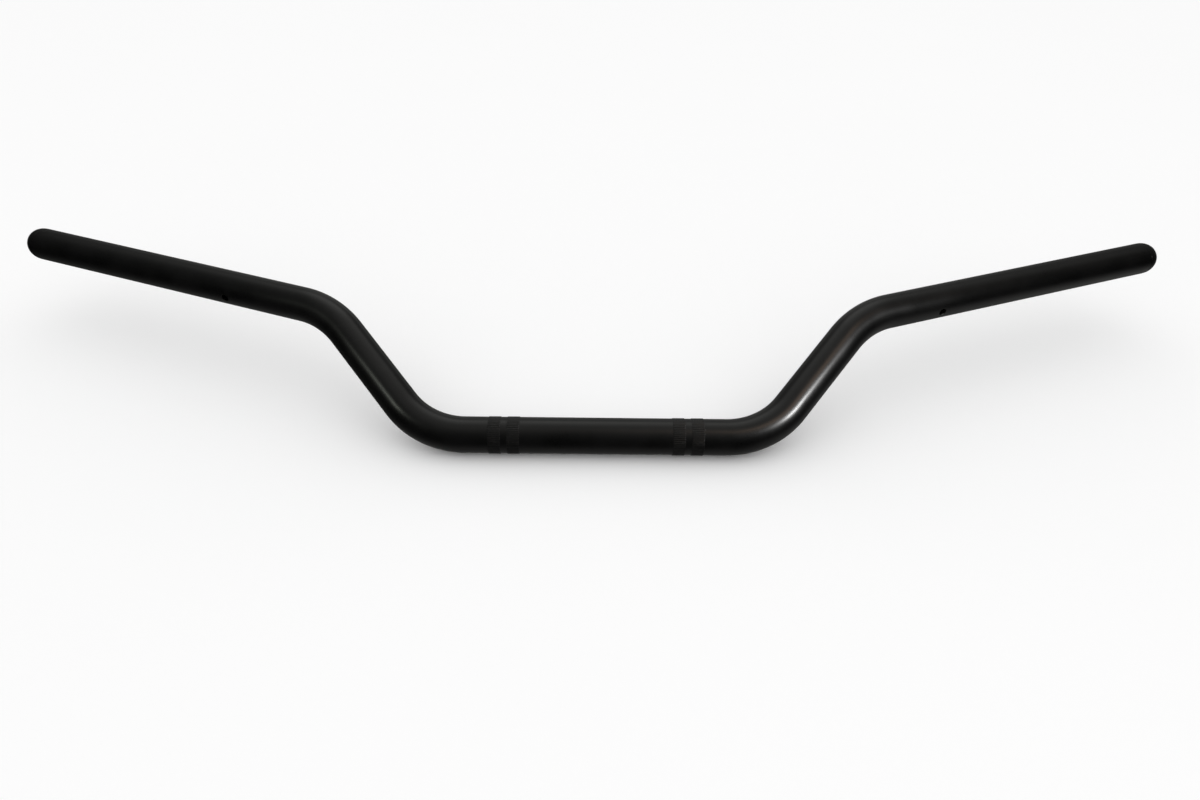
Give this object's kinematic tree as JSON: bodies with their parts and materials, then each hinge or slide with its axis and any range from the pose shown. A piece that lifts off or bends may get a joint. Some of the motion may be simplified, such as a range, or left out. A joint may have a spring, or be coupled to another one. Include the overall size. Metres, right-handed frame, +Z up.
{
  "type": "motorcycle handlebar",
  "caption": "Bent tubular motorcycle handlebar with knurled clamp bands, switch locating holes and domed expanding end plugs, satin black.",
  "frame": {"origin": "on the tube's axis at the middle of the straight clamp section", "axes": "+X along the clamp section towards the clutch grip, -Y the front of the motorcycle, +Y the sweep back to the rider, +Z up with the grips level"},
  "size_m": [0.811, 0.1815, 0.0664],
  "materials": {
    "powder_coated_tube": "satin black powder coat over steel",
    "end_cap": "satin black coated alloy",
    "plated_washer": "zinc plated",
    "black_oxide_screw": "black oxide",
    "expander_rubber": "matte moulded rubber",
    "plated_nut": "zinc plated"
  },
  "bodies": {
    "bar": {"bar_tube": "powder_coated_tube"},
    "throttle_plug": {"throttle_end_cap": "end_cap", "throttle_washer": "plated_washer", "throttle_expander_rubber": "expander_rubber"},
    "throttle_screw": {"throttle_cap_screw": "black_oxide_screw"},
    "throttle_nut": {"throttle_cone_nut": "plated_nut"},
    "clutch_plug": {"clutch_end_cap": "end_cap", "clutch_washer": "plated_washer", "clutch_expander_rubber": "expander_rubber"},
    "clutch_screw": {"clutch_cap_screw": "black_oxide_screw"},
    "clutch_nut": {"clutch_cone_nut": "plated_nut"}
  },
  "joints": [
    {"name": "throttle_plug_pull", "type": "slide", "parent": "bar", "child": "throttle_plug", "axis": [-0.9304, 0.3665, 0], "range_m": [0, 0.06]},
    {"name": "throttle_screw_turn", "type": "hinge", "parent": "throttle_plug", "child": "throttle_screw", "pos_m": [-0.3943, 0.15896, 0.044], "axis": [-0.9304, 0.3665, 0], "range_deg": [0, 1440]},
    {"name": "throttle_nut_travel", "type": "slide", "parent": "throttle_plug", "child": "throttle_nut", "axis": [0.9304, -0.3665, 0], "range_m": [0, 0.004]},
    {"name": "clutch_plug_pull", "type": "slide", "parent": "bar", "child": "clutch_plug", "axis": [0.9304, 0.3665, 0], "range_m": [0, 0.06]},
    {"name": "clutch_screw_turn", "type": "hinge", "parent": "clutch_plug", "child": "clutch_screw", "pos_m": [0.3943, 0.15896, 0.044], "axis": [0.9304, 0.3665, 0], "range_deg": [0, 1440]},
    {"name": "clutch_nut_travel", "type": "slide", "parent": "clutch_plug", "child": "clutch_nut", "axis": [-0.9304, -0.3665, 0], "range_m": [0, 0.004]}
  ],
  "couplings": [
    {"joint": "throttle_screw_turn", "follows": "throttle_nut_travel", "rad_per_m": 6283.2},
    {"joint": "clutch_screw_turn", "follows": "clutch_nut_travel", "rad_per_m": 6283.2}
  ]
}
